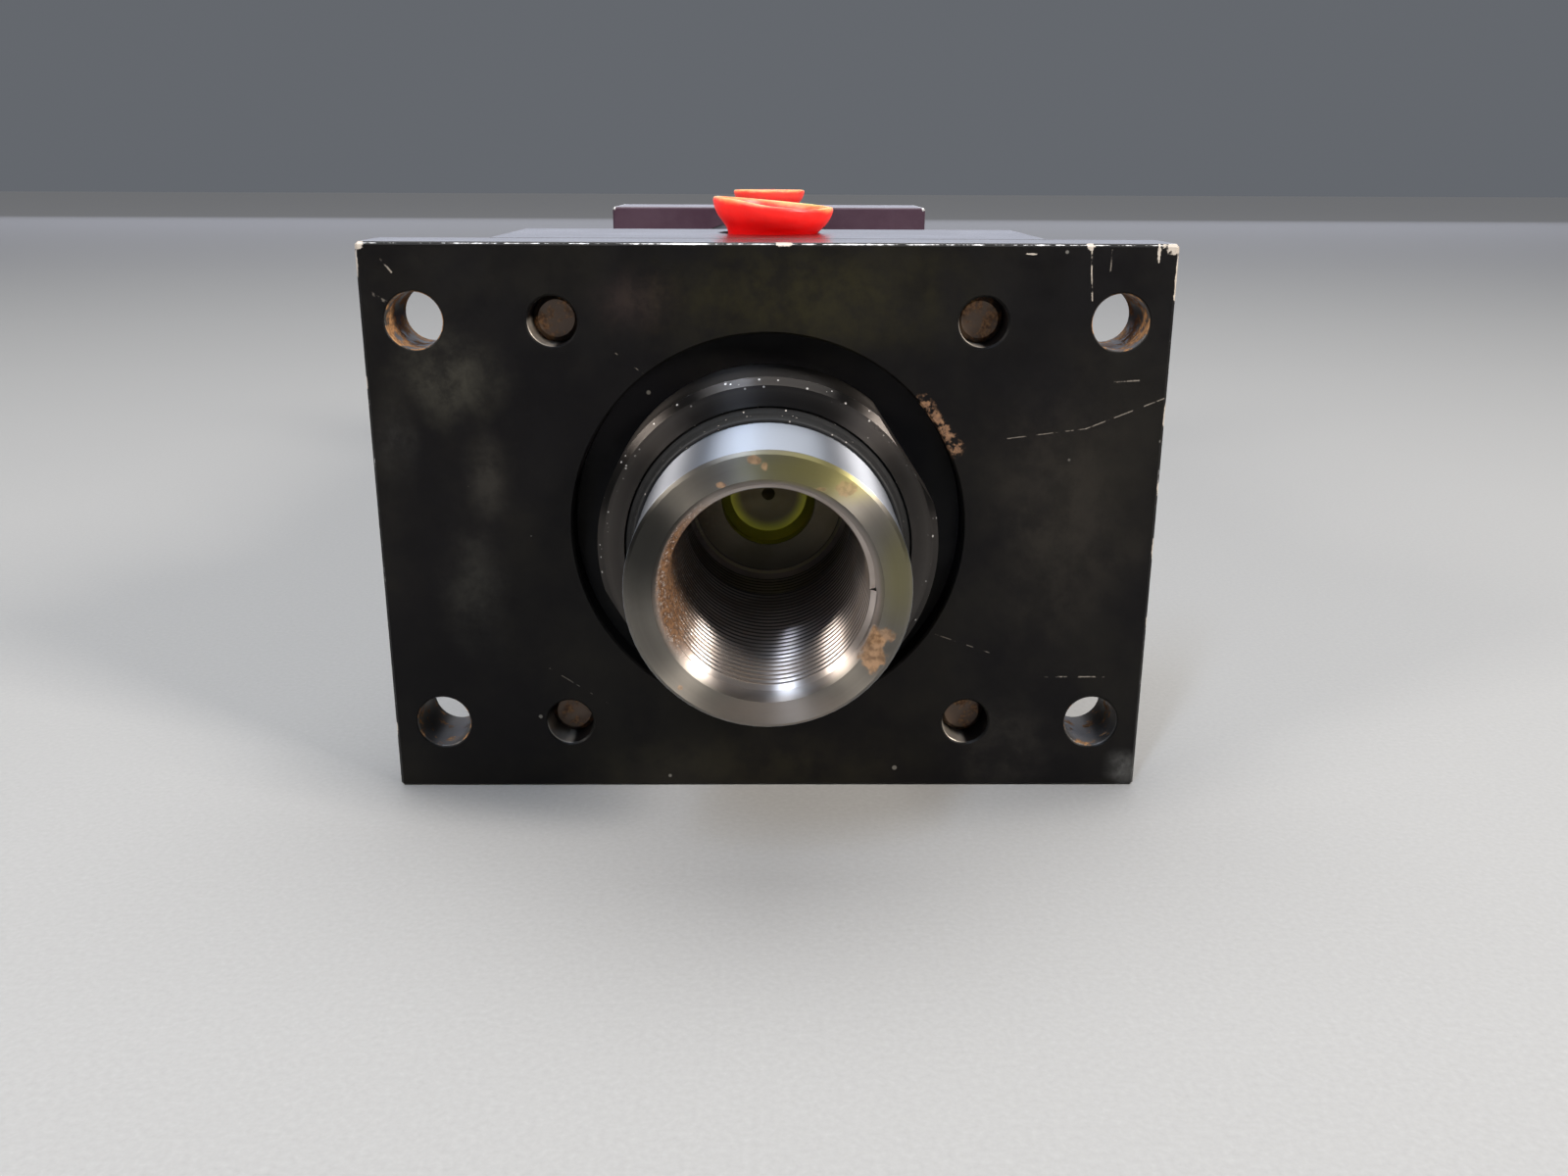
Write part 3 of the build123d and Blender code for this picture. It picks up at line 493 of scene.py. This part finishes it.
low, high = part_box("tie_rods")
bar_r, bar_pitch, bar_root = 4.7625 * MM, 1.0583 * MM, 4.2 * MM
rear_thread = high.y - 14 * MM
front_chamfer, rear_chamfer = 1.1 * MM, 0.7 * MM
tie_rod_parts = []
for x in (low.x + bar_r, high.x - bar_r):
    for z in (low.z + bar_r, high.z - bar_r):
        bar = trace("tie_rod", [
            (0, low.y, 0), (bar_r - front_chamfer, low.y, 0), (bar_r, low.y + front_chamfer, 0),
            (bar_r, rear_thread, 0), (bar_root, rear_thread + 0.6 * MM, 0),
            (bar_root, high.y - rear_chamfer, 0), (bar_root - rear_chamfer, high.y, 0),
            (0, high.y, 0)])
        sweep_round(bar, "Y", 40)
        soften()
        ridge = thread_ridge("tie_rod_thread", bar_root - 0.03 * MM, bar_r - 0.01 * MM,
                             rear_thread + 1.2 * MM, bar_pitch, 11, 40)
        soften()
        for part in (bar, ridge):
            bpy.ops.object.select_all(action="DESELECT")
            part.select_set(True)
            bpy.context.view_layer.objects.active = part
            move((x, 0, z))
            tie_rod_parts.append(part)
threaded_tie_rods = join("threaded_tie_rods", tie_rod_parts)


def plated_steel(name, tone, rust_amount, roughness):
    """Dull bright-drawn steel, with brown stains."""
    material, tree, shader, position = start_finish(name)
    cloudy = noise(tree, position, 90.0, 5.0, 0.6)
    coat = {"colour": mix_colours(tree, cloudy, opaque([0.6 * c for c in tone]),
                                  opaque([1.5 * c for c in tone])),
            "roughness": ramp(tree, cloudy, 0.3, 0.7, roughness, roughness + 0.16),
            "metal": ramp(tree, cloudy, 0.2, 0.8, 0.95, 0.75)}
    stain = effect(tree, rust, position=position, scale=170.0, amount=rust_amount)
    lay_over(tree, coat, overlap(tree, stain["Mask"], 0.8), stain["Colour"], 0.75)
    end_finish(tree, shader, coat, noise(tree, position, 2400.0, 3.0), 0.00002)
    return material


dress(threaded_tie_rods, plated_steel("tie rod steel", (0.16, 0.12, 0.095), 0.5, 0.45))
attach(threaded_tie_rods, "cylinder")
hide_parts("tie_rods")

# Tie-rod nuts: four plain hexagon nuts, run down on the tie rods against the cap. They are zinc
# plated, chamfered on their outer face, and have gone dull.
dress(nodes["tie_rod_nuts"], plated_steel("nut plating", (0.34, 0.32, 0.27), 0.36, 0.34))

# Gland: a cartridge turned from steel bar and screwed into the head, with two flats for a spanner.
# Its nose is dark and oily, has lathe marks and bruised edges, and carries wiper, lip seal and bush.
turned_lines, given, result = new_effect(
    "turned lines", {"Position": "Vector", "Lines": "Float"}, {"Height": "Float", "Band": "Float"})
radius, sides = about_axis(turned_lines, given["Position"])
tool_path = place(turned_lines, "ShaderNodeCombineXYZ", {0: radius, 1: sides[1]}).outputs[0]
turned_lines.links.new(noise(turned_lines, tool_path, given["Lines"], 4.0, 0.75), result["Height"])
turned_lines.links.new(noise(turned_lines, tool_path, maths(
    turned_lines, "MULTIPLY", given["Lines"], 0.12), 2.0), result["Band"])


def brush_round(tree, shader):
    """Lathe marks too fine to model: they stretch a highlight across the turning direction."""
    shader.inputs["Anisotropic"].default_value = 0.95
    shader.inputs["Anisotropic Rotation"].default_value = 0.25
    tree.links.new(place(tree, "ShaderNodeTangent", direction_type="RADIAL", axis="Y").outputs[0],
                   shader.inputs["Tangent"])


material, tree, shader, position = start_finish("gland steel")
radius, sides = about_axis(tree, position)
lines = effect(tree, turned_lines, position=position, lines=2600.0)
film = noise(tree, position, 55.0, 4.0)
coat = {"colour": mix_colours(tree, lines["Band"], opaque((0.030, 0.0275, 0.026)),
                              opaque((0.084, 0.076, 0.070))),
        "roughness": ramp(tree, film, 0.3, 0.7, 0.27, 0.34),
        "metal": 1.0}
low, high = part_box("gland_cartridge")
nose_edge = overlap(tree, ramp(tree, radius, 31.0 * MM, 31.9 * MM),
                    ramp(tree, sides[1], low.y + 1.2 * MM, low.y + 2.4 * MM, 1.0, 0.0))
bruises = effect(tree, specks, position=position, scale=1100.0, size=0.27, share=0.24)["Mask"]
lay_over(tree, coat, overlap(tree, bruises, nose_edge), opaque((0.52, 0.50, 0.48)), 0.45, 0.6)
grit = effect(tree, specks, position=position, scale=900.0, size=0.2, share=0.06)["Mask"]
lay_over(tree, coat, overlap(tree, grit, 0.45), opaque((0.35, 0.33, 0.30)), 0.6)
brush_round(tree, shader)
end_finish(tree, shader, coat, lines["Height"], 0.000012)
dress(nodes["gland_cartridge"], material)

# Rod packing behind the nose: a lip seal and a bronze bush, pressed in, run on the rod. An O-ring
# and its backup ring lie in a groove outside and seal the cartridge in the head.
for node in ("rod_seal", "gland_o_ring"):
    dress(nodes[node], seal_rubber)
material, tree, shader, position = start_finish("bush bronze")
lines = effect(tree, turned_lines, position=position, lines=2600.0)
coat = {"colour": mix_colours(tree, lines["Band"], opaque((0.42, 0.24, 0.09)),
                              opaque((0.62, 0.41, 0.19))),
        "roughness": ramp(tree, lines["Band"], 0.3, 0.7, 0.24, 0.36),
        "metal": 1.0}
end_finish(tree, shader, coat, lines["Height"], 0.000012)
dress(nodes["rod_bush"], material)


def filled_resin(name, colour):
    """Fabric-filled resin: a fine woven mottle in a matte moulding."""
    material, tree, shader, position = start_finish(name)
    weave = noise(tree, position, 1800.0, 3.0)
    coat = {"colour": mix_colours(tree, weave, opaque([0.7 * c for c in colour]),
                                  opaque([1.25 * c for c in colour])),
            "roughness": ramp(tree, weave, 0.3, 0.7, 0.45, 0.6),
            "metal": 0.0}
    end_finish(tree, shader, coat, weave, 0.00005)
    return material


dress(nodes["gland_backup_ring"], filled_resin("backup ring resin", (0.55, 0.52, 0.44)))

# Rod wiper: a black rubber ring snapped into the gland's nose. Its thin lip stands out in front and
# scrapes the rod, and dirt from the rod has gathered in its grain.
wiper = trace("scraper_ring", [(r * MM, y * MM, 0) for r, y in (
    (25.45, -16.55), (25.55, -16.9), (25.95, -16.93), (26.25, -16.7), (26.75, -14.9), (26.95, -14.5),
    (27.5, -13.95), (27.62, -13.6), (27.7, -13.1), (28.0, -12.8), (28.0, -8.05), (25.45, -8.05),
    (25.45, -10.4), (25.75, -11.2), (25.75, -13.6), (25.45, -14.6))])
sweep_round(wiper, "Y", 128)
soften()
dress(wiper, rubber("wiper rubber", (0.004, 0.004, 0.004), 0.075, 1500.0))
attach(wiper, "cylinder")
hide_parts("rod_wiper")

# Piston rod: 2 in bar, hard chromed and polished outside. Its end is faced and tapped 1 1/2-12 for a
# rod eye, with a drilled pocket behind the thread. The bare steel of end and thread has rust stains.
# Near black used as painted shade in the rod's thread.
THREAD_SHADE_BLACK = (0.020, 0.016, 0.012)
material, tree, shader, position = start_finish("rod steel")
radius, sides = about_axis(tree, position)
low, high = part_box("piston_rod")
lines = effect(tree, turned_lines, position=position, lines=3200.0)
coat = {"colour": mix_colours(tree, lines["Band"], opaque((0.14, 0.13, 0.115)),
                              opaque((0.235, 0.22, 0.195))),
        "roughness": ramp(tree, lines["Height"], 0.3, 0.7, 0.42, 0.50),
        "metal": 1.0}
thread_pitch = 2.1167 * MM
bored = ramp(tree, radius, 19.0 * MM, 20.6 * MM, 1.0, 0.0)
lay_over(tree, coat, bored, mix_colours(tree, lines["Band"], opaque((0.46, 0.405, 0.37)),
                                        opaque((0.62, 0.56, 0.52))), 0.34, 1.0)
# Painted shade: the crests of the modelled thread are painted near black, to give dark lines where
# the grooves lie in shade.
painted_crest_shade = overlap(tree, ramp(tree, radius, 18.02 * MM, 18.14 * MM, 1.0, 0.0),
                 ramp(tree, sides[1], 13.9 * MM, 14.2 * MM, 1.0, 0.0))
lay_over(tree, coat, overlap(tree, painted_crest_shade, 0.9), opaque(THREAD_SHADE_BLACK), 0.5)
# Painted shade: past the modelled thread, dark rings one pitch apart are painted on the smooth core,
# for thread grooves in shade.
painted_groove_band = overlap(tree, ramp(tree, sides[1], 14.4 * MM, 14.6 * MM),
                 ramp(tree, sides[1], 26.2 * MM, 26.6 * MM, 1.0, 0.0))
turn = maths(tree, "FRACT", maths(tree, "DIVIDE", sides[1], thread_pitch))
lay_over(tree, coat, overlap(tree, painted_groove_band, bored, ramp(tree, turn, 0.60, 0.80)),
         opaque(THREAD_SHADE_BLACK), 0.5)
tarnish = ramp(tree, noise(tree, position, 75.0, 4.0), 0.4, 0.68)
lay_over(tree, coat, overlap(tree, bored, tarnish, 0.5), opaque((0.22, 0.17, 0.13)), 0.45, 0.8)
# The back of the bore, from its floor inwards, is coloured dark olive.
floor_tint = overlap(tree, ramp(tree, sides[1], 27.0 * MM, 27.4 * MM), bored)
lay_over(tree, coat, overlap(tree, floor_tint, 0.85), opaque((0.13, 0.105, 0.035)), 0.3, 1.0)
# Painted highlight: a pale cream ring round the bore where the thread core ends.
painted_ring_highlight = overlap(tree, ramp(tree, sides[1], 26.4 * MM, 26.6 * MM), bored,
                   ramp(tree, sides[1], 27.0 * MM, 27.2 * MM, 1.0, 0.0))
lay_over(tree, coat, painted_ring_highlight, opaque((0.85, 0.80, 0.62)), 0.3, 1.0)
# Painted reflection: a bright yellow ring on the pocket's wall and the outer edge of its floor.
painted_pocket_reflection = overlap(tree, ramp(tree, sides[1], 27.4 * MM, 28.4 * MM),
                 ramp(tree, radius, 6.0 * MM, 9.0 * MM))
lay_over(tree, coat, overlap(tree, painted_pocket_reflection, 0.9), opaque((0.80, 0.78, 0.10)), 0.30, 1.0)
left_side = overlap(tree, bored, ramp(tree, sides[0], -17.0 * MM, -6.0 * MM, 1.0, 0.0),
                    ramp(tree, sides[2], -14.5 * MM, -9.0 * MM))
near_mouth = ramp(tree, sides[1], -30.0 * MM, 8.0 * MM, 1.0, 0.35)
pitting = effect(tree, rust, position=position, scale=1300.0, amount=0.62)
lay_over(tree, coat, overlap(tree, pitting["Mask"], left_side, near_mouth),
         mix_colours(tree, 0.65, pitting["Colour"], opaque((0.034, 0.019, 0.012))), 0.7)
front_face = overlap(tree, ramp(tree, sides[1], low.y + 0.9 * MM, low.y + 1.5 * MM, 1.0, 0.0),
                     ramp(tree, radius, 19.0 * MM, 19.6 * MM))
# Painted light and shade on the end face: a dark reflection on the upper left, yellow reflections at
# the top and on the right, and a pale lit patch at the bottom.
for x, z, x_radius, z_radius, strength, film in (
        (-21, 10, 14.0, 20.0, 0.88, (0.030, 0.030, 0.028)),
        (10, 22, 18.0, 8.0, 0.50, (0.48, 0.43, 0.11)),
        (23, 4, 6.0, 14.0, 0.45, (0.22, 0.20, 0.06)),
        (2, -22, 17.0, 6.0, 0.45, (0.56, 0.45, 0.37))):
    painted_face_light = effect(tree, patch, position=position, centre=(x * MM, low.y, z * MM),
                  radii=(x_radius * MM, 3 * MM, z_radius * MM), ragged=0.4, grain=60.0,
                  softness=0.8)["Mask"]
    lay_over(tree, coat, overlap(tree, front_face, painted_face_light, strength), opaque(film), 0.44, 1.0)
for x, z, x_radius, z_radius, strength in (
        (18.6, -10.4, 2.6, 5.0, 0.85), (19.4, -7.6, 3.2, 1.8, 0.7), (-2.3, 23.6, 1.5, 0.9, 0.75),
        (-0.6, 22.6, 0.7, 0.8, 0.7), (13.4, 19.0, 2.0, 1.6, 0.5), (15.9, -20.8, 0.9, 0.5, 0.85),
        (-8.0, 19.3, 1.0, 0.6, 0.75), (9.0, 18.6, 0.9, 0.4, 0.6), (-15.6, -17.6, 0.6, 0.5, 0.5)):
    stain = effect(tree, patch, position=position, centre=(x * MM, low.y, z * MM),
                   radii=(x_radius * MM, 3 * MM, z_radius * MM), ragged=1.9, grain=420.0,
                   softness=0.30)["Mask"]
    mottled = mix_colours(tree, ramp(tree, noise(tree, position, 800.0, 3.0), 0.35, 0.65),
                          opaque((0.15, 0.078, 0.033)), opaque((0.34, 0.20, 0.105)))
    lay_over(tree, coat, overlap(tree, front_face, stain, strength), mottled, 0.6, 0.2)
chrome = overlap(tree, ramp(tree, radius, 25.30 * MM, 25.36 * MM),
                 ramp(tree, sides[1], 150.0 * MM, 200.0 * MM, 1.0, 0.0))
lay_over(tree, coat, chrome, opaque((0.29, 0.31, 0.35)), 0.44, 1.0)
brush_round(tree, shader)
tool_marks = mix_values(tree, bored, lines["Height"], 0.5)
end_finish(tree, shader, coat, maths(
    tree, "ADD", tool_marks, overlap(tree, pitting["Mask"], left_side)), 0.000008)
dress(nodes["piston_rod"], material)

thread_root, thread_crest = 19.08 * MM, 17.95 * MM
rod_thread = thread_ridge("rod_thread", thread_root, thread_crest, low.y + 2.6 * MM, thread_pitch,
                          26, 96, crest_share=0.20)
soften()
dress(rod_thread, material)
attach(rod_thread, "rod")

# Piston: cast iron, clamped on the rod's end by a nut. It carries two cup seals and a guide band of
# filled resin, and an O-ring seals it on the rod.


def turned_iron(name, dark, light):
    material, tree, shader, position = start_finish(name)
    lines = effect(tree, turned_lines, position=position, lines=1800.0)
    coat = {"colour": mix_colours(tree, lines["Band"], opaque(dark), opaque(light)),
            "roughness": ramp(tree, lines["Height"], 0.3, 0.7, 0.32, 0.46),
            "metal": 1.0}
    end_finish(tree, shader, coat, lines["Height"], 0.00002)
    return material


dress(nodes["piston"], turned_iron("piston iron", (0.10, 0.10, 0.105), (0.22, 0.22, 0.225)))
dress(nodes["piston_nut"], turned_iron("piston nut steel", (0.20, 0.19, 0.18), (0.34, 0.33, 0.31)))
dress(nodes["piston_guide_band"], filled_resin("guide band resin", (0.36, 0.20, 0.09)))
for node in ("piston_seal_front", "piston_seal_rear", "piston_o_ring"):
    dress(nodes[node], seal_rubber)

# Ports: two taper pipe threads, tapped straight into the steel of head and cap from the top. They
# are bare metal, bright where the tap has been, with a little rust.
for port in ("front_port", "rear_port"):
    depth = next(m for m in frame["record"]["mounts"] if m["name"] == port)["pos_m"][1]
    ridge = trace(port + "_thread", [(r * MM, 0, z * MM) for r, z in (
        (10.14, 38.4), (10.14, 40.1), (9.1, 39.35), (9.1, 39.15))])
    sweep_round(ridge, "Z", 64, 1.8143 * MM, 6)
    soften()
    move((0, depth, 0))
    dress(ridge, plated_steel(port + " steel", (0.30, 0.29, 0.27), 0.34, 0.32))
    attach(ridge, "cylinder")

# Port plugs: flared cups of soft red plastic, pushed into the ports for shipping. Their thin rims
# are painted paler, as painted light coming through, their feet painted darker red as painted shade,
# and the front one is cocked and bent.


def red_plastic(name, rim_height, slope, colour):
    """Red moulded plastic with a faint moulding haze, painted paler towards the rim as light and
    darker towards the foot as shade.
    """
    material, tree, shader, position = start_finish(name)
    sides = place(tree, "ShaderNodeSeparateXYZ", {0: position}).outputs
    level = maths(tree, "ADD", sides[2], maths(tree, "MULTIPLY", sides[0], slope))
    wavy = maths(tree, "SUBTRACT", noise(tree, position, 140.0, 3.0), 0.5)
    level = maths(tree, "ADD", level, maths(tree, "MULTIPLY", wavy, 2.2 * MM))
    # Painted shade: darker red towards the foot, paler red higher up.
    body = mix_colours(tree, ramp(tree, level, rim_height - 5.5 * MM, rim_height - 1.6 * MM),
                       opaque((0.66, 0.007, 0.009)), opaque(colour))
    # Painted light: the thin rim is painted pale orange.
    painted_rim_light = ramp(tree, level, rim_height - 1.3 * MM, rim_height + 0.3 * MM)
    coat = {"colour": mix_colours(tree, painted_rim_light, body, opaque((1.0, 0.42, 0.17))),
            "roughness": ramp(tree, noise(tree, position, 300.0, 4.0), 0.3, 0.7, 0.34, 0.48),
            "metal": 0.0}
    shader.inputs["Subsurface Weight"].default_value = 0.9
    shader.inputs["Subsurface Radius"].default_value = (1.0, 0.08, 0.06)
    shader.inputs["Subsurface Scale"].default_value = 5.0 * MM
    end_finish(tree, shader, coat, noise(tree, position, 700.0, 3.0), 0.00004)
    return material


plug_corners = (
    (0, -4.40), (8.70, -4.40), (9.10, -4.15), (9.20, -3.70), (9.55, -1.20), (10.45, -0.15),
    (11.30, 0.75), (12.35, 2.00), (13.05, 3.40), (13.38, 4.60), (13.36, 5.15), (13.10, 5.52),
    (12.70, 5.58), (12.35, 5.35), (12.20, 4.90), (11.80, 3.60), (11.05, 2.45), (9.90, 1.35),
    (8.70, 0.50), (8.20, -0.80), (7.95, -2.60), (7.60, -3.00), (0, -3.05))
for node, body, bent, tilt, shift, seat, slope, colour in (
        ("port_plug_front", "front_plug", True, -5.0, 0.6, 58.25, 0.0875, (1.0, 0.035, 0.028)),
        ("port_plug_rear", "rear_plug", False, 0.0, 0.0, 57.5, 0.0, (1.0, 0.085, 0.060))):
    low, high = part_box(node)
    foot = Vector((shift * MM, (low.y + high.y) / 2, seat * MM))
    plug = trace(node.replace("port_plug", "flared_plug"),
                 [(r * MM, 0, z * MM) for r, z in plug_corners])
    sweep_round(plug, "Z", 48)
    if bent:
        bpy.ops.object.mode_set(mode="EDIT")
        bpy.ops.mesh.select_all(action="DESELECT")
        bpy.ops.object.mode_set(mode="OBJECT")
        for vertex in plug.data.vertices:
            x, y, z = vertex.co
            vertex.select = z > 5.4 * MM and 0 < x < 7 * MM and y < -10 * MM
        bpy.ops.object.mode_set(mode="EDIT")
        bpy.ops.transform.translate(value=(0, 0, -0.75 * MM), use_proportional_edit=True,
                                    proportional_edit_falloff="SMOOTH", proportional_size=10 * MM)
        bpy.ops.object.mode_set(mode="OBJECT")
    rounding = plug.modifiers.new("rounding", "SUBSURF")
    rounding.levels = rounding.render_levels = 2
    bpy.ops.object.modifier_apply(modifier=rounding.name)
    soften(60.0)
    move(foot, radians(tilt))
    dress(plug, red_plastic(plug.name + " plastic", foot.z + 5.6 * MM, slope, colour))
    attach(plug, body)
    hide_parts(node)

# Studio: a pale floor with soft light from above and from both sides, and a camera a little above
# the flange, in front of the rod's end.
lowest = cad_box[0].z
bpy.ops.object.select_all(action="DESELECT")
bpy.ops.mesh.primitive_plane_add(size=14.0, location=(0, 0, lowest))
floor = bpy.context.object
floor.name = "floor"
material, tree, shader, position = start_finish("floor paper")
fibres = noise(tree, position, 900.0, 3.0)
# Painted light: the floor paper is painted paler with distance, from 0.8 m out to 3.6 m from its
# middle.
painted_far_light = ramp(tree, vector_maths(tree, "LENGTH", position), 0.8, 3.6)
paper = mix_colours(tree, painted_far_light, opaque((0.235, 0.235, 0.23)), opaque((0.37, 0.37, 0.38)))
coat = {"colour": mix_colours(tree, overlap(tree, fibres, 0.25), paper, opaque((0.6, 0.6, 0.6))),
        "roughness": ramp(tree, fibres, 0.3, 0.7, 0.75, 0.9),
        "metal": 0.0}
end_finish(tree, shader, coat)
dress(floor, material)

world = bpy.data.worlds.new("studio")
bpy.context.scene.world = world
world.use_nodes = True
room = world.node_tree
backdrop = room.nodes["Background"].inputs
backdrop["Color"].default_value = opaque((0.80, 0.86, 0.96))
seen = place(room, "ShaderNodeLightPath").outputs["Is Camera Ray"]
room.links.new(ramp(room, seen, 0.0, 1.0, 0.11, 0.16), backdrop["Strength"])


def softbox(name, at, aim, width, height, watts, colour=(1.0, 1.0, 1.0)):
    light = bpy.data.lights.new(name, "AREA")
    light.shape = "RECTANGLE"
    light.size, light.size_y = width, height
    light.energy = watts
    light.color = colour
    lamp = bpy.data.objects.new(name, light)
    bpy.context.scene.collection.objects.link(lamp)
    lamp.location = at
    lamp.visible_camera = False
    lamp.rotation_euler = (Vector(aim) - Vector(at)).to_track_quat("-Z", "Y").to_euler()


WARM_WHITE = (1.0, 0.93, 0.86)
softbox("overhead", (0.0, 0.5, 1.6), (0, 0.1, 0), 1.8, 1.2, 24.0)
softbox("back glow", (0.0, 3.2, 0.9), (0, 0, 0), 4.5, 1.7, 19.0, (0.82, 0.85, 1.0))
softbox("left key", (-0.95, -0.62, 0.62), (0, 0, 0), 0.30, 0.30, 11.5, WARM_WHITE)
softbox("right key", (0.92, -0.62, 0.66), (0, 0, 0), 0.30, 0.30, 22.0, WARM_WHITE)
softbox("strip above camera", (-0.30, -0.72, 1.12), (0, 0, 0), 0.08, 0.6, 8.0, (0.66, 0.79, 1.0))
sky = bpy.data.lights.new("sky", "SUN")
sky.energy = 0.9
sky.angle = radians(50)
sun = bpy.data.objects.new("sky", sky)
bpy.context.scene.collection.objects.link(sun)
sun.rotation_euler = (radians(-24), 0, 0)

lens = bpy.data.cameras.new("camera")
lens.sensor_width = 36.0
lens.lens = 30.953
lens.clip_start = 0.01
camera = bpy.data.objects.new("camera", lens)
bpy.context.scene.collection.objects.link(camera)
eye = Vector((0.00030, -0.26672, 0.07075))
forward = Vector((0.010637, 0.954791, -0.297088)).normalized()
level = forward.cross(Vector((0, 0, 1))).normalized()
upright = level.cross(forward)
roll = Matrix.Rotation(-0.0041, 3, forward)
level, upright = roll @ level, roll @ upright
camera.matrix_world = Matrix((
    (level.x, upright.x, -forward.x, eye.x), (level.y, upright.y, -forward.y, eye.y),
    (level.z, upright.z, -forward.z, eye.z), (0, 0, 0, 1)))
bpy.context.scene.camera = camera
bpy.context.scene.view_settings.view_transform = "Standard"
